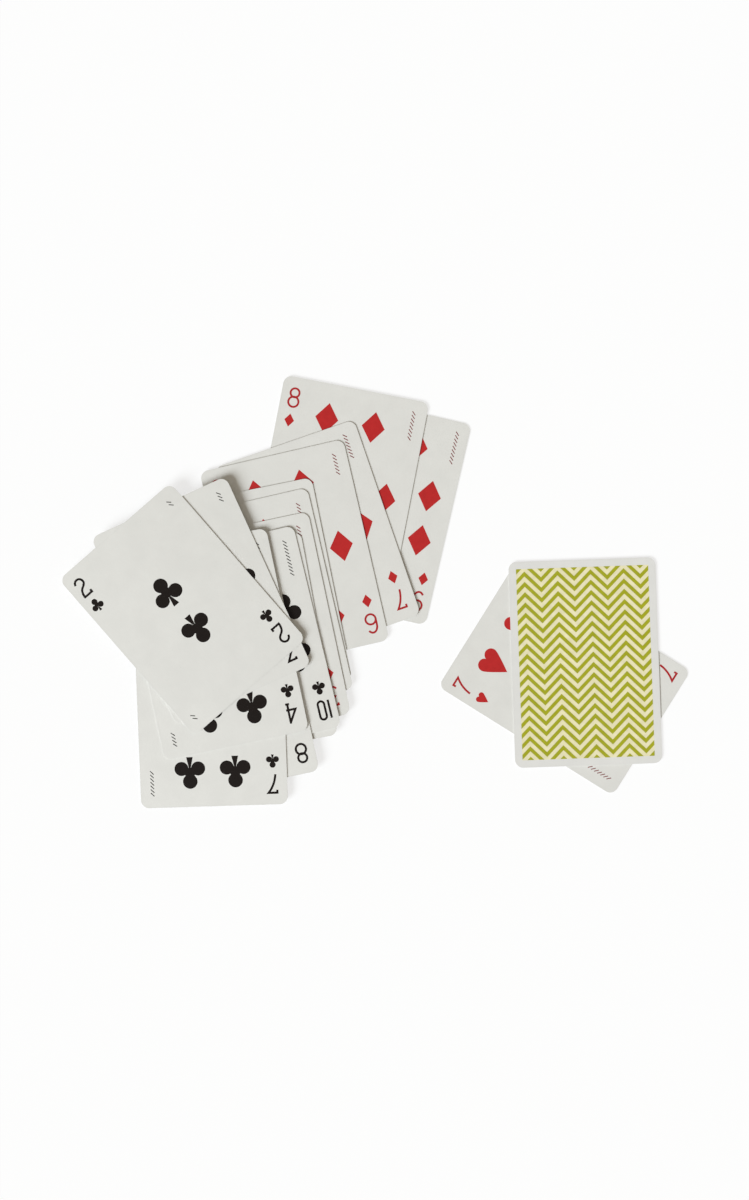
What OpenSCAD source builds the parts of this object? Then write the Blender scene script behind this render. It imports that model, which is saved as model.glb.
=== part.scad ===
// Playing cards lying on a table: a face-up spread of fourteen, and beside it a pair with one card face down.
// The origin is on the table, under the middle of the whole layout. +X is to the right and +Y away from the player.

/* [Card] */
// Width of a card
card_width = 63.5; // [50:0.5:70]
// Height of a card
card_height = 88.9; // [80:0.1:125]
// Radius of the four corners
corner_radius = 3.5; // [1:0.5:8]
// Thickness of the sheet that carries the pips
face_paper = 0.15; // [0.1:0.01:0.3]
// Thickness of the sheet that carries the back pattern
back_paper = 0.15; // [0.1:0.01:0.3]

/* [Layout] */
// Air between a card and the card it lies on
air_gap = 0.06; // [0.04:0.01:0.3]
// Space kept between two cards that lie side by side at one height
side_gap = 1; // [0.5:0.5:5]
// Length of one unit in the deal's list of places
deal_unit = 1; // [0.6:0.05:1.5]
// Turn of each card, as a share of the turn it was dealt at
turn_share = 1; // [0:0.1:1]

/* [Droop] */
// Direction in which the spread was laid, and in which its cards bend down to the table, from +X towards +Y
droop_turn = 230; // [180:1:270]
// Tightest curve that the cards are bent to
least_bend = 800; // [400:50:5000]

/* [Colours] */
// Face sheet
face_colour = [0.87, 0.87, 0.84];
// Back sheet
back_colour = [0.93, 0.90, 0.80];

/* [Hidden] */
$fn = 64;
// Segments of a full turn of the droop's long curve
curve_segments = 1440;

// The deal, lowest card first: name, heap, place of the card's middle to the right and away from the player, turn to
// the left in degrees, and 1 for face up or 0 for face down.
SPREAD = 1;
PAIR = 2;
deal = [
    ["nine_of_diamonds", SPREAD, 1, 39.5, -13, 1],
    ["eight_of_diamonds", SPREAD, -16, 47.5, -11, 1],
    ["seven_of_diamonds", SPREAD, -24.5, 25.5, 19, 1],
    ["six_of_diamonds", SPREAD, -34.5, 19, 13, 1],
    ["five_of_diamonds", SPREAD, -49.5, 3, 11.5, 1],
    ["four_of_diamonds", SPREAD, -50, -2, 13, 1],
    ["three_of_diamonds", SPREAD, -50.5, -12, 12, 1],
    ["two_of_diamonds", SPREAD, -55, -20, 10.5, 1],
    ["ten_of_clubs", SPREAD, -55.5, -18.5, 13.5, 1],
    ["eight_of_clubs", SPREAD, -64, -36.5, 12, 1],
    ["seven_of_clubs", SPREAD, -70.5, -44.5, 2, 1],
    ["four_of_clubs", SPREAD, -68.5, -19, 12, 1],
    ["three_of_clubs", SPREAD, -74.5, -0.5, 24.5, 1],
    ["two_of_clubs", SPREAD, -82.5, -4, 41, 1],
    ["seven_of_hearts", PAIR, 82, -34, 58, 1],
    ["face_down_card", PAIR, 91, -27, 2, 0]
];
cards = [0 : len(deal) - 1];

function name_of(i) = deal[i][0];
function is_in_spread(i) = deal[i][1] == SPREAD;
function middle_of(i) = deal_unit * [deal[i][2], deal[i][3]];
function turn_of(i) = turn_share * deal[i][4];
function is_face_up(i) = deal[i][5] == 1;
function across_of(i) = [cos(turn_of(i)), sin(turn_of(i))];
function along_of(i) = [-sin(turn_of(i)), cos(turn_of(i))];

// How far card i reaches from its middle in direction d, with corners of radius r.
function reach(i, d, r) =
    abs(across_of(i) * d) * (card_width / 2 - r) + abs(along_of(i) * d) * (card_height / 2 - r) + r;

// Two cards are apart if, along a side of either one, their middles are further from each other than they reach.
function are_apart(i, j) = max([
    for (d = [across_of(i), along_of(i), across_of(j), along_of(j)])
        abs((middle_of(i) - middle_of(j)) * d) - reach(i, d, 0) - reach(j, d, 0)
]) > side_gap;

// A card's level is one above the highest card that it lies over. The table is level 0.
function levels(found = []) =
    len(found) == len(deal) ? found
    : let (i = len(found))
        levels(concat(found, [max([0, for (j = [0 : 1 : i - 1]) if (!are_apart(i, j)) found[j] + 1])]));

level_of = levels();
card_paper = face_paper + back_paper;
card_pitch = card_paper + air_gap;
function height_of(i) = level_of[i] * card_pitch;

// The spread is flat as far as its lowest card reaches. Beyond that it bends down over one long curve, just enough
// for the first of its cards to touch the table.
droop_way = [cos(droop_turn), sin(droop_turn)];
function far_end(i) = middle_of(i) * droop_way + reach(i, droop_way, corner_radius);
droop_start = far_end(0);
droop_radius = max([
    least_bend,
    for (i = cards)
        if (is_in_spread(i) && level_of[i] > 0 && far_end(i) > droop_start)
            ((far_end(i) - droop_start) ^ 2 - height_of(i) ^ 2) / (2 * height_of(i))
]);

axes = [[1, 0], [0, 1]];
low_side = [for (a = [0, 1]) min([for (i = cards) middle_of(i)[a] - reach(i, axes[a], corner_radius)])];
high_side = [for (a = [0, 1]) max([for (i = cards) middle_of(i)[a] + reach(i, axes[a], corner_radius)])];
layout_middle = (low_side + high_side) / 2;
// More than any card's distance from the droop's start
well_past = norm(high_side - low_side);

function face_sheet_name(i) = str(name_of(i), "_face_sheet");
function back_sheet_name(i) = str(name_of(i), "_back_sheet");

module card_outline() {
    square([card_width - 2 * corner_radius, card_height], center = true);
    square([card_width, card_height - 2 * corner_radius], center = true);
    for (x = [-1, 1], y = [-1, 1])
        translate([x * (card_width / 2 - corner_radius), y * (card_height / 2 - corner_radius)])
            circle(r = corner_radius);
}

// Side view of a layer between two heights: level up to the droop's start, then bending down.
module drooping_layer(bottom, top) {
    translate([-well_past, bottom])
        square([well_past, top - bottom]);
    intersection() {
        translate([0, -droop_radius])
            difference() {
                circle(r = droop_radius + top, $fn = curve_segments);
                circle(r = droop_radius + bottom, $fn = curve_segments);
            }
        translate([0, -well_past])
            square([well_past, 2 * well_past]);
    }
}

// A sheet of card i between two heights in the card.
module sheet(i, bottom, top) {
    translate([-layout_middle.x, -layout_middle.y, 0])
        if (is_in_spread(i) && far_end(i) > droop_start)
            intersection() {
                translate([middle_of(i).x, middle_of(i).y, -well_past / 2])
                    rotate([0, 0, turn_of(i)])
                        linear_extrude(well_past)
                            card_outline();
                rotate([0, 0, droop_turn])
                    translate([droop_start, 0, 0])
                        rotate([90, 0, 0])
                            linear_extrude(3 * well_past, center = true)
                                drooping_layer(height_of(i) + bottom, height_of(i) + top);
            }
        else
            translate([middle_of(i).x, middle_of(i).y, height_of(i) + bottom])
                rotate([0, 0, turn_of(i)])
                    linear_extrude(top - bottom)
                        card_outline();
}

module face_sheet(i) {
    color(face_colour)
        if (is_face_up(i)) sheet(i, back_paper, card_paper);
        else sheet(i, 0, face_paper);
}

module back_sheet(i) {
    color(back_colour)
        if (is_face_up(i)) sheet(i, 0, back_paper);
        else sheet(i, face_paper, card_paper);
}

for (i = cards) {
    face_sheet(i);
    back_sheet(i);
}
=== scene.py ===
"""Dresses the playing cards that lie on a table: their paper, printed faces and patterned backs."""

import math
from collections import namedtuple

import bpy
from bpy.props import FloatProperty, FloatVectorProperty, IntProperty, PointerProperty
from mathutils import Euler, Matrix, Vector
from mathutils.geometry import delaunay_2d_cdt


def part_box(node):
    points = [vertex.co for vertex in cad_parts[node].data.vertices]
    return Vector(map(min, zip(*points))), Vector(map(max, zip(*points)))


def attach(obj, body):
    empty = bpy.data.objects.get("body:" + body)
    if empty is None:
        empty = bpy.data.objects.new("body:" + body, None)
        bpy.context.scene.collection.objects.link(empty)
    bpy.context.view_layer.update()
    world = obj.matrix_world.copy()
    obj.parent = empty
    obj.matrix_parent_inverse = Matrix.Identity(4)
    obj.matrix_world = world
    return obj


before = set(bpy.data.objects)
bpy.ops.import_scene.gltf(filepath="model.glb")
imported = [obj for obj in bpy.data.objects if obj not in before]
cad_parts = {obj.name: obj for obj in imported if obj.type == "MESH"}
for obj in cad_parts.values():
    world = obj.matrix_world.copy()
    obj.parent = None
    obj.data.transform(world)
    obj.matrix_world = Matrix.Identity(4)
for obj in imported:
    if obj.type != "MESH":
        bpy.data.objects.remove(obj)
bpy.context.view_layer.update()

bl_info = {
    "name": "Playing Cards on a Table",
    "version": (1, 0, 0),
    "blender": (4, 5, 0),
    "location": "3D View > Sidebar > Cards",
    "description": "Paper, printed faces and patterned backs for a spread of playing cards",
    "category": "Add Mesh",
}

MM = 0.001
CARD_WIDTH = 63.5 * MM
CARD_HEIGHT = 88.9 * MM

# Lowest card first: body, suit, rank, turn to the left in degrees, whether its face is up, and how far
# the print on the face was cut off its middle, in millimetres to the right and up.
Card = namedtuple("Card", "body suit rank turn face_up shift")
CARDS = [
    Card("nine_of_diamonds", "diamond", 9, -13, True, (0.35, 0.55)),
    Card("eight_of_diamonds", "diamond", 8, -11, True, (-0.2, 0)),
    Card("seven_of_diamonds", "diamond", 7, 19, True, (-0.5, 0.3)),
    Card("six_of_diamonds", "diamond", 6, 13, True, (0.05, -0.3)),
    Card("five_of_diamonds", "diamond", 5, 11.5, True, (0, 0)),
    Card("four_of_diamonds", "diamond", 4, 13, True, (0, -0.6)),
    Card("three_of_diamonds", "diamond", 3, 12, True, (0, 0)),
    Card("two_of_diamonds", "diamond", 2, 10.5, True, (0, 0)),
    Card("ten_of_clubs", "club", 10, 13.5, True, (0.15, -0.4)),
    Card("eight_of_clubs", "club", 8, 12, True, (0.1, 0)),
    Card("seven_of_clubs", "club", 7, 2, True, (-0.3, 0.1)),
    Card("four_of_clubs", "club", 4, 12, True, (0.25, -0.2)),
    Card("three_of_clubs", "club", 3, 24.5, True, (-0.35, 0.2)),
    Card("two_of_clubs", "club", 2, 41, True, (-0.5, -0.2)),
    Card("seven_of_hearts", "heart", 7, 58, True, (-0.05, -0.35)),
    Card("face_down_card", "heart", 6, 2, False, (0, 0)),
]

# Places of the large pips on a face, in millimetres from the card's middle.
INNER_COLUMN = 10.2
OUTER_COLUMN = 20.6
INNER_ROW = 9.8
OUTER_ROW = 29.4
CORNERS = [(x, y) for x in (-INNER_COLUMN, INNER_COLUMN) for y in (-OUTER_ROW, OUTER_ROW)]
SIDES = [(-OUTER_COLUMN, 0), (OUTER_COLUMN, 0)]
SIDE_ROWS = [(x, y) for x in (-OUTER_COLUMN, OUTER_COLUMN) for y in (-INNER_ROW, INNER_ROW)]
INNER = [(0, -INNER_ROW), (0, INNER_ROW)]
MIDDLE = [(0, 0)]
PIP_PLACES = {
    2: INNER,
    3: MIDDLE + SIDES,
    4: CORNERS,
    5: CORNERS + MIDDLE,
    6: CORNERS + SIDES,
    7: CORNERS + SIDES + MIDDLE,
    8: CORNERS + SIDES + INNER,
    9: CORNERS + SIDE_ROWS + MIDDLE,
    10: CORNERS + SIDE_ROWS + INNER,
}
# Share of the pips' distance from the middle line, for each suit. The wide clubs stand a little closer.
COLUMN_SHARE = {"diamond": 1, "heart": 1.04, "club": 0.96}
# Two cards have pips in places of their own, where the cards on them hide them: the side pips of the
# seven of clubs stand closer still, and the index pips of the eight of clubs further from the card's end.
CLOSE_COLUMN = 16.5
OWN_PIP_PLACES = {"seven_of_clubs": CORNERS + [(-CLOSE_COLUMN, 0), (CLOSE_COLUMN, 0)] + MIDDLE}
OWN_SMALL_PIP_DOWN = {"eight_of_clubs": 21.6 * MM}

# Height of an index number, in millimetres.
NUMBER_HEIGHT = 8.9

# How far the table reaches from its middle, and how far it lies below the cards.
TABLE_REACH = 1.5
TABLE_DROP = 0.1 * MM

# Width of the camera's sensor, in millimetres.
SENSOR_WIDTH = 36


def srgb(*rgb):
    """A colour on the 0 to 255 scale, as the linear values that shaders take."""
    shares = [c / 255 for c in rgb]
    return (*(s / 12.92 if s <= 0.04045 else ((s + 0.055) / 1.055) ** 2.4 for s in shares), 1.0)


def length(name, description, millimetres):
    """A property that holds a length."""
    return FloatProperty(
        name=name,
        description=description,
        default=millimetres * MM,
        min=0,
        precision=5,
        subtype="DISTANCE",
        unit="LENGTH",
    )


def angle(name, description, degrees):
    """A property that holds an angle."""
    return FloatProperty(
        name=name,
        description=description,
        default=math.radians(degrees),
        subtype="ANGLE",
        unit="ROTATION",
    )


def factor(name, description, value):
    """A property that holds a share of a whole."""
    return FloatProperty(name=name, description=description, default=value, min=0, max=1, subtype="FACTOR")


def strength(name, description, value):
    """A property that holds the strength of a light."""
    return FloatProperty(name=name, description=description, default=value, min=0)


def colour(name, description, *rgb):
    """A property that holds a colour."""
    return FloatVectorProperty(
        name=name,
        description=description,
        default=srgb(*rgb),
        size=4,
        min=0,
        max=1,
        subtype="COLOR",
    )


class CardPrint(bpy.types.PropertyGroup):
    """Sizes of what is printed on the cards."""

    ink: length("Ink", "How far the ink stands above the paper", 0.012)
    soak: length("Soak", "How far the ink goes into the paper", 0.008)
    small_pip: factor("Small pip", "Size of an index pip as a share of a large one", 0.42)
    number_in: length("Number inset", "From the card's side to the middle of the number", 6.0)
    number_down: length("Number drop", "From the card's end to the middle of the number", 8.9)
    small_pip_in: length("Small pip inset", "From the card's side to the middle of the index pip", 5.75)
    small_pip_down: length("Small pip drop", "From the card's end to the middle of the index pip", 18.8)
    stroke: length("Stroke", "Width of the line that the black numbers are drawn with", 0.96)
    fine_stroke: length("Fine stroke", "Width of the line that the red numbers are drawn with", 0.85)
    tick_length: length("Tick length", "Length of a tally tick", 2.1)
    tick_width: length("Tick width", "Width of a tally tick", 0.36)
    tick_pitch: length("Tick pitch", "Distance between two ticks", 1.58)
    tick_in: length("Tick inset", "From the card's side to the middle of the ticks", 5.45)
    tick_down: length("Tick drop", "From the card's end to the first tick", 5.7)
    border: length("Border", "Plain edge round the pattern on the back", 3.2)
    stripe_width: length("Stripe width", "Width of a zigzag stripe on the back", 1.5)
    stripe_pitch: length("Stripe pitch", "Distance between two zigzag stripes, square to them", 3.14)
    zigzags: IntProperty(name="Zigzags", description="Full zigzags across the back", default=4, min=1)


class CardColours(bpy.types.PropertyGroup):
    """Colours of the paper, the inks and the table."""

    face_stock: colour("Face paper", "Paper on the printed side", 223, 222, 217)
    back_stock: colour("Back paper", "Paper on the patterned side", 225, 224, 220)
    red: colour("Red ink", "Hearts and diamonds", 185, 41, 41)
    number_red: colour("Number red ink", "Numbers on the hearts and diamonds", 172, 38, 42)
    tick_red: colour("Tick red ink", "Ticks on the hearts and diamonds", 122, 42, 44)
    black: colour("Black ink", "Clubs", 13, 5, 1)
    ground: colour("Ground ink", "Ground of the pattern on the back", 235, 228, 188)
    stripes: colour("Stripe ink", "Stripes of the pattern on the back", 165, 166, 37)
    table: colour("Table", "Floor that the cards lie on", 254, 254, 254)


class CardStage(bpy.types.PropertyGroup):
    """The light, the camera and how white the table shows."""

    camera_height: length("Camera height", "Height of the camera above the table", 800)
    view_length: length("View length", "Length of table along the picture's long side", 518.4)
    view_middle: FloatVectorProperty(
        name="View middle",
        description="Point of the table under the camera",
        default=(-0.506 * MM, -3.339 * MM),
        size=2,
        precision=5,
        subtype="XYZ",
        unit="LENGTH",
    )
    key_turn: angle("Key turn", "Direction that the main light comes from, from +X towards +Y", 220)
    key_lift: angle("Key lift", "Height of the main light above the table", 32)
    key_spread: angle("Key spread", "Width of the main light, as the cards see it", 30)
    key_strength: strength("Key strength", "Strength of the main light", 4.05)
    key_colour: colour("Key colour", "Colour of the main light", 243, 249, 255)
    fill_strength: strength("Fill strength", "Strength of the light from all round", 0.34)
    fill_colour: colour("Fill colour", "Colour of the light from all round", 255, 244, 226)
    table_lift: factor("Table lift", "Share of plain white in what the camera sees of the table", 0.72)


# Cards


def face_sheet(card):
    """Name of the sheet that carries a card's face."""
    return card.body + "_face_sheet"


def back_sheet(card):
    """Name of the sheet that carries a card's back."""
    return card.body + "_back_sheet"


def face_turn(card):
    """Turn of the face's print. It looks down on a card that lies face down."""
    return (0, 0 if card.face_up else math.pi, math.radians(card.turn))


def back_turn(card):
    """Turn of the back's print. It looks down on a card that lies face up."""
    return (0, math.pi if card.face_up else 0, math.radians(card.turn))


def place_of(card):
    """The middle of a card, on the table."""
    low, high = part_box(face_sheet(card))
    return Vector(((low.x + high.x) / 2, (low.y + high.y) / 2, 0))


def face_place(card):
    """The middle of the print on a card's face, on the table."""
    return place_of(card) + Euler(face_turn(card)).to_matrix() @ Vector((*card.shift, 0)) * MM


# Flat motifs, as outlines in millimetres


def arc(x, y, radius, start, end, height=None, steps=28):
    """Points of a round or oval arc between two angles in degrees."""
    angles = [math.radians(start + (end - start) * i / steps) for i in range(steps + 1)]
    return [(x + radius * math.cos(a), y + (height or radius) * math.sin(a)) for a in angles]


def bend(start, pull, end, steps=14):
    """Points of a curve from start to end that leans towards pull."""
    shares = [i / steps for i in range(steps + 1)]
    return [
        tuple((1 - t) ** 2 * a + 2 * t * (1 - t) * b + t * t * c for a, b, c in zip(start, pull, end))
        for t in shares
    ]


def line(path, width, least_step=1e-6, sharpest=0.35):
    """Outline of a line of one width along a path, with mitred corners that never grow long."""
    corners = [Vector(p) for p in path]
    points = corners[:1] + [b for a, b in zip(corners, corners[1:]) if (b - a).length > least_step]
    ways = [(b - a).normalized() for a, b in zip(points, points[1:])]
    left, right = [], []
    for i, point in enumerate(points):
        before, after = ways[max(i - 1, 0)], ways[min(i, len(ways) - 1)]
        across = Vector((-before.y - after.y, before.x + after.x)).normalized()
        reach = width / 2 / max(across.dot(Vector((-after.y, after.x))), sharpest)
        left.append(point + across * reach)
        right.append(point - across * reach)
    return [tuple(p) for p in left + right[::-1]]


def ring(x, y, radius, width):
    """Two half rings that overlap a little."""
    return [line(arc(x, y, radius, start, start + 184), width) for start in (-2, 178)]


def diamond():
    """A diamond with straight sides."""
    return [[(0, -6.75), (5.05, 0), (0, 6.75), (-5.05, 0)]]


def heart():
    """A heart: an arc over each half, and sides that run nearly straight to the point."""
    right = arc(2.6, 3.3, 2.8, 158, -16) + bend((5.29, 2.53), (4.74, 0.6), (0, -6.6))
    left = [(-x, y) for x, y in right[::-1]]
    return [left[1:-1] + [(0, 4.2)] + right[1:]]


def club():
    """A club: three round lobes, what joins them, and the stem."""
    rounds = [(-3.6, -1.4, 3.05), (3.6, -1.4, 3.05), (0, 4.15, 3.15)]
    lobes = [arc(x, y, radius, 0, 360)[:-1] for x, y, radius in rounds]
    core = [(-0.75, -1.9), (0.75, -1.9), (2.35, 0.95), (1.75, 2.0), (-1.75, 2.0), (-2.35, 0.95)]
    stem = [(-1.45, -6.4), (1.45, -6.4), (0.35, -1.5), (-0.35, -1.5)]
    return lobes + [core, stem]


def number(rank, w):
    """Outlines of a card's number, drawn with a line of width w."""
    top = NUMBER_HEIGHT / 2 - w / 2
    if rank == 2:
        bowl = arc(0, top - 1.95, 1.9, 172, -25, 1.95)
        neck = bend(bowl[-1], (1.3, 0.5), (0.1, -0.1)) + bend((0.1, -0.1), (-1.75, -0.95), (-1.95, -top))
        base = [(-1.95 - w / 2, -top), (1.95, -top), (1.95, -top + 1.2)]
        return [line(bowl + neck, w), line(base, w)]
    if rank == 3:
        waist = 0.2
        bowl = arc(-0.2, (waist - top) / 2, 2.15, 90, -150, (waist + top) / 2)
        return [line([(-1.8, top - 0.9), (-1.8, top), (1.75, top), (-1.0, waist)] + bowl, w)]
    if rank == 4:
        bar = [(2.1, -1.45), (-2.0, -1.45), (1.15, top)]
        stem = [(1.15, top + w / 2), (1.15, -top)]
        foot = [(0.3, -top), (2.0, -top)]
        return [line(bar, w), line(stem, w), line(foot, w)]
    if rank == 5:
        flag = [(1.7, top - 0.6), (1.7, top), (-1.45, top), (-1.7, 0.35)]
        return [line(flag + arc(-0.15, -1.4, 2.15, 130, -150, top - 1.4), w)]
    if rank in (6, 9):
        turn = 1 if rank == 6 else -1
        low = top - 2.2
        stem = [(-2.2, -low)] + arc(0, 0.9, 2.2, 180, 40, top - 0.9)
        outlines = ring(0, -low, 2.2, w) + [line(stem, w)]
        return [[(turn * x, turn * y) for x, y in outline] for outline in outlines]
    if rank == 7:
        flag = [(-1.9, top - 1.25), (-1.9, top), (1.9, top)]
        return [line(flag + bend((1.9, top), (-0.9, 0.5), (-1.25, -top)), w)]
    if rank == 8:
        return ring(0, top - 1.92, 1.92, w) + ring(0, 2.2 - top, 2.2, w)
    if rank == 10:
        middle = 0.57
        side = 1.88 - w / 2
        one = [(-2.73, -top), (-2.73, top)]
        right = arc(middle, top - side, side, 180, 0) + arc(middle, side - top, side, 0, -90)
        left = arc(middle, side - top, side, -88, -180) + [(middle - side, top - side + 0.05)]
        return [line(one, w), line(right, w), line(left, w)]
    raise ValueError(f"no number is drawn for rank {rank}")


# What the triangulation gives, and how near each other two of its points may be, in millimetres.
ALL_TRIANGLES = 0
NEAREST_POINTS = 1e-5


def filled(outlines, spacing=2.4, off=(0.013, 0.017)):
    """Points and faces of all that the outlines cover, with a grid of points inside it for it to bend at.

    The grid is set off a little, so that none of its points falls on an outline.
    """
    points, loops = [], []
    for outline in outlines:
        area = sum(a[0] * b[1] - a[1] * b[0] for a, b in zip(outline, outline[1:] + outline[:1]))
        outline = outline if area > 0 else outline[::-1]
        loops.append(list(range(len(points), len(points) + len(outline))))
        points += [Vector(p) for p in outline]
    columns, rows = (int(max(abs(p[axis]) for p in points) / spacing) for axis in (0, 1))
    points += [
        Vector((i * spacing + off[0], j * spacing + off[1]))
        for i in range(-columns, columns + 1)
        for j in range(-rows, rows + 1)
    ]
    flat, _, faces, _, _, sources = delaunay_2d_cdt(points, [], loops, ALL_TRIANGLES, NEAREST_POINTS)
    covered = [face for face, source in zip(faces, sources) if source]
    used = sorted({v for face in covered for v in face})
    index = {v: i for i, v in enumerate(used)}
    return [flat[v] for v in used], [[index[v] for v in face] for face in covered]


def ink_motif(name, outlines, prints):
    """A thin closed sheet of ink in the shape of all the outlines together."""
    points, top = filled(outlines)
    count = len(points)
    vertices = [(p.x * MM, p.y * MM, height) for height in (prints.ink, -prints.soak) for p in points]
    edges = {(a, b) for face in top for a, b in zip(face, face[1:] + face[:1])}
    rim = [(a, b) for a, b in edges if (b, a) not in edges]
    bottom = [[v + count for v in face[::-1]] for face in top]
    walls = [[b, a, a + count, b + count] for a, b in rim]
    mesh = bpy.data.meshes.new(name)
    mesh.from_pydata(vertices, [], top + bottom + walls)
    return new_object(name, mesh)


def new_object(name, data):
    """An object in the scene."""
    made = bpy.data.objects.new(name, data)
    bpy.context.scene.collection.objects.link(made)
    return made


# Node trees


def add(tree, kind, inputs=None, **settings):
    """A node with its settings, whose inputs are values or other nodes' sockets."""
    node = tree.nodes.new(kind)
    for key, value in settings.items():
        setattr(node, key, value)
    for key, value in (inputs or {}).items():
        if isinstance(value, bpy.types.NodeSocket):
            tree.links.new(value, node.inputs[key])
        else:
            node.inputs[key].default_value = value
    return node


def out(tree, kind, inputs=None, socket=0, **settings):
    """The output of a new node."""
    return add(tree, kind, inputs, **settings).outputs[socket]


def math_of(tree, operation, *values):
    """The result of a calculation on values or sockets."""
    return out(tree, "ShaderNodeMath", dict(enumerate(values)), operation=operation)


def along_y(tree, value):
    """A vector along Y."""
    return out(tree, "ShaderNodeCombineXYZ", {"Y": value})


def join(tree, *parts):
    """Geometry of all the parts."""
    node = tree.nodes.new("GeometryNodeJoinGeometry")
    for part in parts:
        tree.links.new(part, node.inputs[0])
    return node.outputs[0]


def new_tree(name, **inputs):
    """A node tree with named inputs, and the sockets that they arrive at."""
    tree = bpy.data.node_groups.new(name, "GeometryNodeTree")
    for label, kind in inputs.items():
        tree.interface.new_socket(label.replace("_", " "), in_out="INPUT", socket_type="NodeSocket" + kind)
    tree.interface.new_socket("Geometry", in_out="OUTPUT", socket_type="NodeSocketGeometry")
    return tree, tree.nodes.new("NodeGroupInput").outputs


def close_tree(tree, geometry):
    """The tree, with the geometry that it gives."""
    tree.links.new(geometry, tree.nodes.new("NodeGroupOutput").inputs[0])
    return tree


def shared(build, name):
    """A tree that is built once and used in several places."""
    return bpy.data.node_groups.get(name) or build(name)


def laying_tree(name, ray_start=0.1):
    """Puts flat print in its place and lets it follow the sheet under it, from above or from below.

    A ray that starts well clear of the cards finds the sheet.
    """
    tree, given = new_tree(name, Geometry="Geometry", Sheet="Object", Place="Vector", Turn="Rotation")
    placed = out(
        tree,
        "GeometryNodeTransform",
        {"Geometry": given["Geometry"], "Translation": given["Place"], "Rotation": given["Turn"]},
    )
    inward = out(tree, "FunctionNodeRotateVector", {"Vector": (0, 0, -1), "Rotation": given["Turn"]})
    position = out(tree, "GeometryNodeInputPosition")
    on_table = out(tree, "ShaderNodeVectorMath", {0: position, 1: (1, 1, 0)}, operation="MULTIPLY")
    start = out(
        tree,
        "ShaderNodeVectorMath",
        {0: inward, 1: (-ray_start, -ray_start, -ray_start), 2: on_table},
        operation="MULTIPLY_ADD",
    )
    sheet = out(tree, "GeometryNodeObjectInfo", {"Object": given["Sheet"]}, "Geometry")
    hit = out(
        tree,
        "GeometryNodeRaycast",
        {
            "Target Geometry": sheet,
            "Source Position": start,
            "Ray Direction": inward,
            "Ray Length": 2 * ray_start,
        },
        "Hit Position",
    )
    lift = out(tree, "ShaderNodeVectorMath", {0: hit, 1: (0, 0, 1)}, operation="MULTIPLY")
    return close_tree(tree, out(tree, "GeometryNodeSetPosition", {"Geometry": placed, "Offset": lift}))


def laid(tree, geometry, given):
    """Makes a print's instances real and lays them on the sheet."""
    real = out(tree, "GeometryNodeRealizeInstances", {"Geometry": geometry})
    inputs = {label: given[label] for label in ("Sheet", "Place", "Turn")}
    group = shared(laying_tree, "lay_on_sheet")
    return out(tree, "GeometryNodeGroup", {"Geometry": real, **inputs}, node_tree=group)


def inked(tree, geometry, ink):
    """Geometry in one ink."""
    return out(tree, "GeometryNodeSetMaterial", {"Geometry": geometry, "Material": ink})


def motif_tree(name):
    """Prints one motif at every point, spun and sized as the point says."""
    tree, given = new_tree(
        name,
        Geometry="Geometry",
        Motif="Object",
        Sheet="Object",
        Place="Vector",
        Turn="Rotation",
        Ink="Material",
    )
    spin = out(tree, "GeometryNodeInputNamedAttribute", {"Name": "spin"}, data_type="FLOAT")
    size = out(tree, "GeometryNodeInputNamedAttribute", {"Name": "size"}, data_type="FLOAT")
    printed = out(
        tree,
        "GeometryNodeInstanceOnPoints",
        {
            "Points": given["Geometry"],
            "Instance": out(tree, "GeometryNodeObjectInfo", {"Object": given["Motif"]}, "Geometry"),
            "Rotation": out(tree, "ShaderNodeCombineXYZ", {"Z": spin}),
            "Scale": out(tree, "ShaderNodeCombineXYZ", {"X": size, "Y": size, "Z": 1.0}),
        },
    )
    return close_tree(tree, inked(tree, laid(tree, printed, given), given["Ink"]))


def tick_tree(name):
    """Prints a column of ticks in one corner, and the same turned half round in the opposite corner."""
    tree, given = new_tree(
        name,
        Ticks="Int",
        First="Vector",
        Pitch="Float",
        Tick="Object",
        Sheet="Object",
        Place="Vector",
        Turn="Rotation",
        Ink="Material",
    )
    step = along_y(tree, math_of(tree, "MULTIPLY", given["Pitch"], -1.0))
    column = out(
        tree,
        "GeometryNodeMeshLine",
        {"Count": given["Ticks"], "Start Location": given["First"], "Offset": step},
    )
    tick = out(tree, "GeometryNodeObjectInfo", {"Object": given["Tick"]}, "Geometry")
    ticks = out(tree, "GeometryNodeInstanceOnPoints", {"Points": column, "Instance": tick})
    across = out(tree, "GeometryNodeTransform", {"Geometry": ticks, "Rotation": (0, 0, math.pi)})
    return close_tree(tree, inked(tree, laid(tree, join(tree, ticks, across), given), given["Ink"]))


def thickening_tree(name, merge_reach=1e-6):
    """Gives a flat sheet of ink its thickness, closed on all sides."""
    tree, given = new_tree(name, Geometry="Geometry", Above="Float", Below="Float")
    down = out(tree, "ShaderNodeCombineXYZ", {"Z": math_of(tree, "MULTIPLY", given["Below"], -1.0)})
    base = out(tree, "GeometryNodeSetPosition", {"Geometry": given["Geometry"], "Offset": down})
    raised = out(
        tree,
        "GeometryNodeExtrudeMesh",
        {
            "Mesh": base,
            "Offset": (0, 0, 1),
            "Offset Scale": math_of(tree, "ADD", given["Above"], given["Below"]),
            "Individual": False,
        },
        mode="FACES",
    )
    closed = join(tree, raised, out(tree, "GeometryNodeFlipFaces", {"Mesh": base}))
    merged = out(tree, "GeometryNodeMergeByDistance", {"Geometry": closed, "Distance": merge_reach})
    return close_tree(tree, merged)


def thick(tree, geometry, above, below):
    """A flat sheet of ink with its thickness."""
    group = shared(thickening_tree, "thicken_ink")
    inputs = {"Geometry": geometry, "Above": above, "Below": below}
    return out(tree, "GeometryNodeGroup", inputs, node_tree=group)


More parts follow.
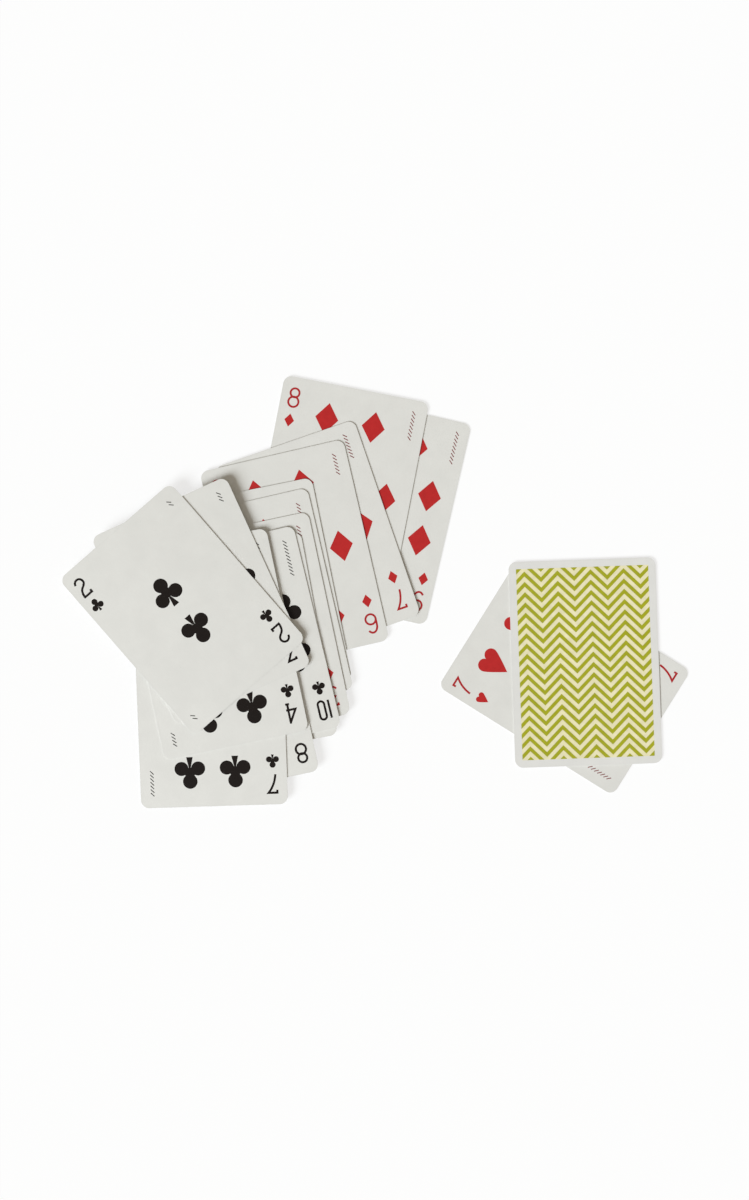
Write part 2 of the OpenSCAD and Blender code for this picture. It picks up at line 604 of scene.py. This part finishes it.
def pattern_ground(tree, given, columns=21, rows=29, ink_share=0.5):
    """The plain ground under the stripes: a thinner film of ink, with points all over for it to bend at."""
    flat = out(
        tree,
        "GeometryNodeMeshGrid",
        {"Size X": given["Width"], "Size Y": given["Height"], "Vertices X": columns, "Vertices Y": rows},
    )
    return thick(tree, flat, math_of(tree, "MULTIPLY", given["Ink"], ink_share), given["Soak"])


def zigzag_stripes(tree, given, cells=8.0):
    """Rows of zigzag stripes across the back, with cells along each zigzag. The outer rows pass its ends."""
    columns = math_of(tree, "MULTIPLY_ADD", given["Zigzags"], cells, 1.0)
    strip = out(
        tree,
        "GeometryNodeMeshGrid",
        {"Size X": given["Width"], "Size Y": given["Row Height"], "Vertices X": columns, "Vertices Y": 2},
    )
    half_rows = math_of(tree, "MULTIPLY_ADD", given["Rows"], -0.5, 0.5)
    rows = out(
        tree,
        "GeometryNodeMeshLine",
        {
            "Count": given["Rows"],
            "Start Location": along_y(tree, math_of(tree, "MULTIPLY", half_rows, given["Row Pitch"])),
            "Offset": along_y(tree, given["Row Pitch"]),
        },
    )
    strips = out(tree, "GeometryNodeInstanceOnPoints", {"Points": rows, "Instance": strip})
    strips = out(tree, "GeometryNodeRealizeInstances", {"Geometry": strips})
    across = out(tree, "ShaderNodeSeparateXYZ", {0: out(tree, "GeometryNodeInputPosition")})
    period = math_of(tree, "DIVIDE", given["Width"], given["Zigzags"])
    quarter = math_of(tree, "MULTIPLY", period, 0.25)
    half = math_of(tree, "MULTIPLY", period, 0.5)
    wave = math_of(tree, "PINGPONG", math_of(tree, "ADD", across, quarter), half)
    rise = along_y(tree, math_of(tree, "SUBTRACT", wave, quarter))
    bent = out(tree, "GeometryNodeSetPosition", {"Geometry": strips, "Offset": rise})
    return thick(tree, bent, given["Ink"], given["Soak"])


def cut_at_ends(tree, stripes, given, cutter_width=1.0, cutter_depth=0.01):
    """The stripes between the pattern's two ends. The box that cuts them is wider and deeper than any."""
    size = out(tree, "ShaderNodeCombineXYZ", {"X": cutter_width, "Y": given["Height"], "Z": cutter_depth})
    cutter = out(tree, "GeometryNodeMeshCube", {"Size": size})
    cut = add(tree, "GeometryNodeMeshBoolean", operation="INTERSECT", solver="EXACT")
    for part in (stripes, cutter):
        tree.links.new(part, cut.inputs["Mesh 2"])
    return cut.outputs["Mesh"]


def back_tree(name):
    """Prints rows of zigzag stripes on a plain ground, cut off square at its two ends."""
    tree, given = new_tree(
        name,
        Width="Float",
        Height="Float",
        Zigzags="Int",
        Rows="Int",
        Row_Pitch="Float",
        Row_Height="Float",
        Ink="Float",
        Soak="Float",
        Sheet="Object",
        Place="Vector",
        Turn="Rotation",
        Ground_Ink="Material",
        Stripe_Ink="Material",
    )
    ground = inked(tree, pattern_ground(tree, given), given["Ground Ink"])
    stripes = cut_at_ends(tree, zigzag_stripes(tree, given), given)
    stripes = inked(tree, stripes, given["Stripe Ink"])
    return close_tree(tree, laid(tree, join(tree, ground, stripes), given))


# Printing


def dots(name, places):
    """Points to print at: x and y in metres, spin, and size."""
    mesh = bpy.data.meshes.new(name)
    mesh.from_pydata([(x, y, 0) for x, y, _, _ in places], [], [])
    for label, column in (("spin", 2), ("size", 3)):
        layer = mesh.attributes.new(label, "FLOAT", "POINT")
        layer.data.foreach_set("value", [place[column] for place in places])
    return mesh


def large_pips(card):
    """Places of a card's large pips. Half of them stand on their heads, so that both ends read alike."""
    share = COLUMN_SHARE[card.suit]
    places = OWN_PIP_PLACES.get(card.body, PIP_PLACES[card.rank])
    spins = [math.pi if y < 0 or y == 0 < x else 0.0 for x, y in places]
    return [(share * x * MM, y * MM, spin, 1.0) for (x, y), spin in zip(places, spins)]


def both_ends(side, end, size=1.0):
    """A place at the top left, given from the card's side and end, and the same at the bottom right."""
    x, y = CARD_WIDTH / 2 - side, CARD_HEIGHT / 2 - end
    return [(-x, y, 0.0, size), (x, -y, math.pi, size)]


def check_print(piece, sheet, slack=0.03 * MM):
    """Stops the script if a print is empty, open, or off its sheet."""
    mesh = piece.data
    if not mesh.polygons:
        raise RuntimeError(f"{piece.name} came out empty")
    uses = [0] * len(mesh.edges)
    for loop in mesh.loops:
        uses[loop.edge_index] += 1
    if any(n != 2 for n in uses):
        raise RuntimeError(f"{piece.name} isn't closed: {sum(n != 2 for n in uses)} edges")
    low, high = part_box(sheet)
    for vertex in mesh.vertices:
        if any(not a - slack <= c <= b + slack for a, c, b in zip(low, vertex.co, high)):
            raise RuntimeError(f"{piece.name} leaves its sheet at {tuple(vertex.co)}")


def print_piece(name, tree, values, sheet, body, points=None):
    """Evaluates a print's tree for one card, and keeps the result as a mesh that moves with the card."""
    piece = new_object(name, points or bpy.data.meshes.new(name))
    modifier = piece.modifiers.new("Print", "NODES")
    modifier.node_group = tree
    sockets = {item.name: item.identifier for item in tree.interface.items_tree if item.in_out == "INPUT"}
    for label, value in {**values, "Sheet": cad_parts[sheet]}.items():
        modifier[sockets[label]] = value
    graph = bpy.context.evaluated_depsgraph_get()
    mesh = bpy.data.meshes.new_from_object(piece.evaluated_get(graph), depsgraph=graph)
    piece.modifiers.remove(modifier)
    piece.data = mesh
    mesh.name = name
    check_print(piece, sheet)
    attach(piece, body)


def print_face(card, ending, tree, values, ink, points=None):
    """Prints on a card's face, at the middle of its print."""
    values = {**values, "Place": face_place(card), "Turn": face_turn(card), "Ink": ink}
    print_piece(card.body + ending, tree, values, face_sheet(card), card.body, points)


def print_motifs(card, ending, motif, places, ink):
    """Prints a motif at places on a card's face."""
    tree = shared(motif_tree, "print_motifs")
    print_face(card, ending, tree, {"Motif": motif}, ink, dots(card.body + ending, places))


# Materials


def new_material(name):
    """A material, its tree and its shader."""
    material = bpy.data.materials.new(name)
    material.use_nodes = True
    tree = material.node_tree
    return material, tree, tree.nodes["Principled BSDF"]


def ramp(tree, value, limits, colours):
    """A colour that goes from one to another as a value goes between two limits."""
    node = add(tree, "ShaderNodeValToRGB", {"Fac": value})
    for element, limit, shown in zip(node.color_ramp.elements, limits, colours):
        element.position, element.color = limit, shown
    return node.outputs["Color"]


def span(tree, value, limits, results):
    """A value that goes from one result to another as the given value goes between two limits."""
    return out(
        tree,
        "ShaderNodeMapRange",
        {
            "Value": value,
            "From Min": limits[0],
            "From Max": limits[1],
            "To Min": results[0],
            "To Max": results[1],
        },
    )


def shade(stock, share):
    """A colour made darker or lighter."""
    return (*(min(c * share, 1) for c in stock[:3]), 1)


def mix(tree, share, first, second):
    """The first of two colours, with a share of the second."""
    return out(tree, "ShaderNodeMix", {0: share, 6: first, 7: second}, 2, data_type="RGBA")


def noise(tree, coordinates, size, detail=3.0, roughness=0.55):
    """Noise whose features are about the given size, in metres."""
    return out(
        tree,
        "ShaderNodeTexNoise",
        {"Vector": coordinates, "Scale": 1 / size, "Detail": detail, "Roughness": roughness},
    )


def roughen(tree, shader, grain, roughness, bump, depth):
    """Gives a surface the roughness and the small bumps of its grain."""
    tree.links.new(span(tree, grain, (0.3, 0.7), roughness), shader.inputs["Roughness"])
    bumps = out(tree, "ShaderNodeBump", {"Height": grain, "Strength": bump, "Distance": depth})
    tree.links.new(bumps, shader.inputs["Normal"])


def edge_distance(tree, on_card, corner_blend=2 * MM):
    """How far a point of a card is from its edge, from coordinates that start at the card's middle."""
    apart = out(tree, "ShaderNodeVectorMath", {0: on_card}, operation="ABSOLUTE")
    apart = add(tree, "ShaderNodeSeparateXYZ", {0: apart})
    from_side = math_of(tree, "SUBTRACT", CARD_WIDTH / 2, apart.outputs[0])
    from_end = math_of(tree, "SUBTRACT", CARD_HEIGHT / 2, apart.outputs[1])
    return math_of(tree, "SMOOTH_MIN", from_side, from_end, corner_blend)


def is_cut_edge(tree, steepest=0.5):
    """One on the cut edge, where the surface stands upright, and nought on the flat of a sheet."""
    normal = out(tree, "ShaderNodeNewGeometry", socket="Normal")
    upright = out(tree, "ShaderNodeSeparateXYZ", {0: normal}, 2)
    return math_of(tree, "LESS_THAN", math_of(tree, "ABSOLUTE", upright), steepest)


def paper_stock(name, stock, card):
    """Smooth uncoated card: soft clouding, short fibres, a cut edge, and a rim that was handled."""
    material, tree, shader = new_material(name)
    here = out(tree, "ShaderNodeTexCoord", socket="Object")
    on_card = out(
        tree,
        "ShaderNodeMapping",
        {"Vector": here, "Location": place_of(card), "Rotation": (0, 0, math.radians(card.turn))},
        vector_type="TEXTURE",
    )
    stretched = out(tree, "ShaderNodeMapping", {"Vector": on_card, "Scale": (1.0, 0.28, 1.0)})
    clouds = noise(tree, here, size=9 * MM, detail=2.0)
    fibres = noise(tree, stretched, size=0.45 * MM, detail=5.0, roughness=0.7)
    specks = noise(tree, on_card, size=0.9 * MM, detail=2.0, roughness=0.4)
    core = noise(tree, here, size=0.12 * MM, detail=4.0, roughness=0.7)

    paper = ramp(tree, clouds, (0.3, 0.7), (shade(stock, 0.975), shade(stock, 1.02)))
    paper = mix(tree, span(tree, fibres, (0.35, 0.75), (0.0, 0.35)), paper, shade(stock, 0.93))
    paper = mix(tree, span(tree, specks, (0.70, 0.80), (0.0, 0.25)), paper, shade(stock, 0.80))
    ragged = math_of(tree, "MULTIPLY_ADD", specks, 1.2 * MM, edge_distance(tree, on_card))
    handled = span(tree, ragged, (0.3 * MM, 1.5 * MM), (0.30, 0.0))
    paper = mix(tree, handled, paper, shade(stock, 0.88))
    cut = ramp(tree, core, (0.3, 0.7), (shade(stock, 0.72), shade(stock, 0.90)))
    tree.links.new(mix(tree, is_cut_edge(tree), paper, cut), shader.inputs["Base Color"])

    shader.inputs["Specular IOR Level"].default_value = 0.35
    roughen(tree, shader, fibres, roughness=(0.62, 0.74), bump=0.25, depth=0.02 * MM)
    return material


def printing_ink(name, ink, paper=0.75, paper_share=0.06):
    """Ink that lies a little unevenly on the paper, denser in spots, with the paper's grain showing."""
    material, tree, shader = new_material(name)
    here = out(tree, "ShaderNodeTexCoord", socket="Object")
    density = noise(tree, here, size=2.5 * MM)
    grain = noise(tree, here, size=0.35 * MM, detail=4.0, roughness=0.7)
    thin = (*(c + (paper - c) * paper_share for c in ink[:3]), 1)
    film = ramp(tree, density, (0.3, 0.7), (shade(ink, 0.93), shade(ink, 1.06)))
    film = mix(tree, span(tree, grain, (0.58, 0.80), (0.0, 0.9)), film, thin)
    tree.links.new(film, shader.inputs["Base Color"])
    shader.inputs["Specular IOR Level"].default_value = 0.12
    roughen(tree, shader, grain, roughness=(0.55, 0.70), bump=0.2, depth=0.015 * MM)
    return material


def ink_of(suit, looks, red="red"):
    """The suit's ink, made once. Another red may be asked for in place of the pips' red."""
    kind = "black" if suit == "club" else red
    return bpy.data.materials.get(kind + "_ink") or printing_ink(kind + "_ink", getattr(looks, kind))


def seen(tree):
    """One for what the camera sees, straight or in a glossy or clear surface."""
    path = tree.nodes.new("ShaderNodeLightPath").outputs
    mirrored = math_of(tree, "MAXIMUM", path["Is Glossy Ray"], path["Is Transmission Ray"])
    return math_of(tree, "MAXIMUM", path["Is Camera Ray"], mirrored)


def table_top(looks, lift):
    """Plain pale floor, lifted towards white where the camera sees it, with its shadows kept."""
    material, tree, shader = new_material("table_top")
    here = out(tree, "ShaderNodeTexCoord", socket="Object")
    clouds = noise(tree, here, size=60 * MM, detail=2.0)
    tone = ramp(tree, clouds, (0.3, 0.7), (shade(looks.table, 0.995), looks.table))
    tree.links.new(tone, shader.inputs["Base Color"])
    shader.inputs["Roughness"].default_value = 0.9
    shader.inputs["Specular IOR Level"].default_value = 0.0
    white = out(tree, "ShaderNodeEmission", {"Color": (1, 1, 1, 1), "Strength": 1.0})
    share = math_of(tree, "MULTIPLY", seen(tree), lift)
    both = out(tree, "ShaderNodeMixShader", {0: share, 1: shader.outputs[0], 2: white})
    tree.links.new(both, tree.nodes["Material Output"].inputs["Surface"])
    return material


# Stage


def lay_table(looks, lift):
    """The floor that the cards lie on."""
    mesh = bpy.data.meshes.new("table")
    sides = [(-1, -1), (1, -1), (1, 1), (-1, 1)]
    corners = [(x * TABLE_REACH, y * TABLE_REACH, -TABLE_DROP) for x, y in sides]
    mesh.from_pydata(corners, [], [(0, 1, 2, 3)])
    mesh.materials.append(table_top(looks, lift))
    new_object("table", mesh)


def hang_key_light(stage):
    """The main light, from low on one side."""
    key = bpy.data.lights.new("key_light", "SUN")
    key.energy = stage.key_strength
    key.angle = stage.key_spread
    key.color = stage.key_colour[:3]
    turn, lift = stage.key_turn, stage.key_lift
    flat = math.cos(lift)
    towards = Vector((flat * math.cos(turn), flat * math.sin(turn), math.sin(lift)))
    lamp = new_object("key_light", key)
    lamp.rotation_euler = towards.to_track_quat("Z", "Y").to_euler()


def light_all_round(scene, stage):
    """A soft light from all round, which the camera sees as plain white."""
    world = scene.world or bpy.data.worlds.new("studio")
    scene.world = world
    world.use_nodes = True
    tree = world.node_tree
    tree.nodes.clear()
    fill = out(tree, "ShaderNodeBackground", {"Color": stage.fill_colour, "Strength": stage.fill_strength})
    white = out(tree, "ShaderNodeBackground", {"Color": (1, 1, 1, 1), "Strength": 1.0})
    shown = out(tree, "ShaderNodeMixShader", {0: seen(tree), 1: fill, 2: white})
    add(tree, "ShaderNodeOutputWorld", {"Surface": shown})


def look_down(scene, stage):
    """The camera, straight above the table."""
    lens = bpy.data.cameras.new("camera")
    lens.sensor_width = SENSOR_WIDTH
    lens.lens = SENSOR_WIDTH * stage.camera_height / stage.view_length
    camera = new_object("camera", lens)
    camera.location = (*stage.view_middle, stage.camera_height)
    scene.camera = camera


# Operators


class CARDS_OT_paper(bpy.types.Operator):
    """Give the two sheets of every card their paper"""

    bl_idname = "cards.paper"
    bl_label = "Paper"

    def execute(self, context):
        looks = context.scene.card_colours
        for card in CARDS:
            stocks = {face_sheet(card): looks.face_stock, back_sheet(card): looks.back_stock}
            for sheet, stock in stocks.items():
                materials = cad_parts[sheet].data.materials
                materials.clear()
                materials.append(paper_stock(sheet + "_paper", tuple(stock), card))
        return {"FINISHED"}


class CARDS_OT_pips(bpy.types.Operator):
    """Print the large pips and the index pips on every face"""

    bl_idname = "cards.pips"
    bl_label = "Pips"

    def execute(self, context):
        prints, looks = context.scene.card_print, context.scene.card_colours
        suits = {"diamond": diamond, "heart": heart, "club": club}
        motifs = {suit: ink_motif(suit, outlines(), prints) for suit, outlines in suits.items()}
        for card in CARDS:
            drop = OWN_SMALL_PIP_DOWN.get(card.body, prints.small_pip_down)
            places = large_pips(card) + both_ends(prints.small_pip_in, drop, prints.small_pip)
            print_motifs(card, "_pips", motifs[card.suit], places, ink_of(card.suit, looks))
        for motif in motifs.values():
            bpy.data.objects.remove(motif)
        return {"FINISHED"}


class CARDS_OT_numbers(bpy.types.Operator):
    """Print the two index numbers on every face"""

    bl_idname = "cards.numbers"
    bl_label = "Numbers"

    def execute(self, context):
        prints, looks = context.scene.card_print, context.scene.card_colours
        places = both_ends(prints.number_in, prints.number_down)
        for card in CARDS:
            stroke = prints.stroke if card.suit == "club" else prints.fine_stroke
            motif = ink_motif(f"number_{card.rank}", number(card.rank, stroke / MM), prints)
            print_motifs(card, "_numbers", motif, places, ink_of(card.suit, looks, "number_red"))
            bpy.data.objects.remove(motif)
        return {"FINISHED"}


class CARDS_OT_ticks(bpy.types.Operator):
    """Print the tally ticks, as many as the card counts, in two corners of every face"""

    bl_idname = "cards.ticks"
    bl_label = "Ticks"

    def execute(self, context):
        prints, looks = context.scene.card_print, context.scene.card_colours
        reach = prints.tick_length / 2 / MM * math.sqrt(0.5)
        slant = line([(-reach, reach), (reach, -reach)], prints.tick_width / MM)
        tick = ink_motif("tick", [slant], prints)
        tree = tick_tree("print_ticks")
        for card in CARDS:
            values = {
                "Ticks": card.rank,
                "First": (CARD_WIDTH / 2 - prints.tick_in, CARD_HEIGHT / 2 - prints.tick_down, 0),
                "Pitch": prints.tick_pitch,
                "Tick": tick,
            }
            print_face(card, "_ticks", tree, values, ink_of(card.suit, looks, "tick_red"))
        bpy.data.objects.remove(tick)
        return {"FINISHED"}


class CARDS_OT_backs(bpy.types.Operator):
    """Print the zigzag pattern on every back"""

    bl_idname = "cards.backs"
    bl_label = "Backs"

    def execute(self, context):
        prints, looks = context.scene.card_print, context.scene.card_colours
        width, height = CARD_WIDTH - 2 * prints.border, CARD_HEIGHT - 2 * prints.border
        slant = math.sqrt(2)
        pitch = prints.stripe_pitch * slant
        quarter = width / prints.zigzags / 4
        pattern = {
            "Width": width,
            "Height": height,
            "Zigzags": prints.zigzags,
            "Rows": 2 * math.ceil((height / 2 + quarter) / pitch) + 1,
            "Row Pitch": pitch,
            "Row Height": prints.stripe_width * slant,
            "Ink": prints.ink,
            "Soak": prints.soak,
            "Ground Ink": printing_ink("ground_ink", tuple(looks.ground)),
            "Stripe Ink": printing_ink("stripe_ink", tuple(looks.stripes)),
        }
        tree = back_tree("print_back")
        for card in CARDS:
            values = {**pattern, "Place": place_of(card), "Turn": back_turn(card)}
            print_piece(card.body + "_back_print", tree, values, back_sheet(card), card.body)
        return {"FINISHED"}


class CARDS_OT_stage(bpy.types.Operator):
    """Set the table, the light and the camera straight above"""

    bl_idname = "cards.stage"
    bl_label = "Stage"

    def execute(self, context):
        scene = context.scene
        lay_table(scene.card_colours, scene.card_stage.table_lift)
        hang_key_light(scene.card_stage)
        light_all_round(scene, scene.card_stage)
        look_down(scene, scene.card_stage)
        scene.view_settings.view_transform = "Standard"
        return {"FINISHED"}


class CARDS_PT_panel(bpy.types.Panel):
    """Sizes, colours and steps of the cards"""

    bl_idname = "CARDS_PT_panel"
    bl_label = "Playing Cards"
    bl_space_type = "VIEW_3D"
    bl_region_type = "UI"
    bl_category = "Cards"

    def draw(self, context):
        for step in OPERATORS:
            self.layout.operator(step.bl_idname)
        for name, group in GROUPS.items():
            box = self.layout.box()
            for key in group.__annotations__:
                box.prop(getattr(context.scene, name), key)


OPERATORS = [
    CARDS_OT_paper,
    CARDS_OT_pips,
    CARDS_OT_numbers,
    CARDS_OT_ticks,
    CARDS_OT_backs,
    CARDS_OT_stage,
]
GROUPS = {"card_print": CardPrint, "card_colours": CardColours, "card_stage": CardStage}
CLASSES = [*GROUPS.values(), *OPERATORS, CARDS_PT_panel]


def register():
    for item in CLASSES:
        bpy.utils.register_class(item)
    for name, group in GROUPS.items():
        setattr(bpy.types.Scene, name, PointerProperty(type=group))


def unregister():
    for name in GROUPS:
        delattr(bpy.types.Scene, name)
    for item in reversed(CLASSES):
        bpy.utils.unregister_class(item)


def main():
    register()
    bpy.ops.cards.paper()
    bpy.ops.cards.pips()
    bpy.ops.cards.numbers()
    bpy.ops.cards.ticks()
    bpy.ops.cards.backs()
    bpy.ops.cards.stage()


if __name__ == "__main__":
    main()
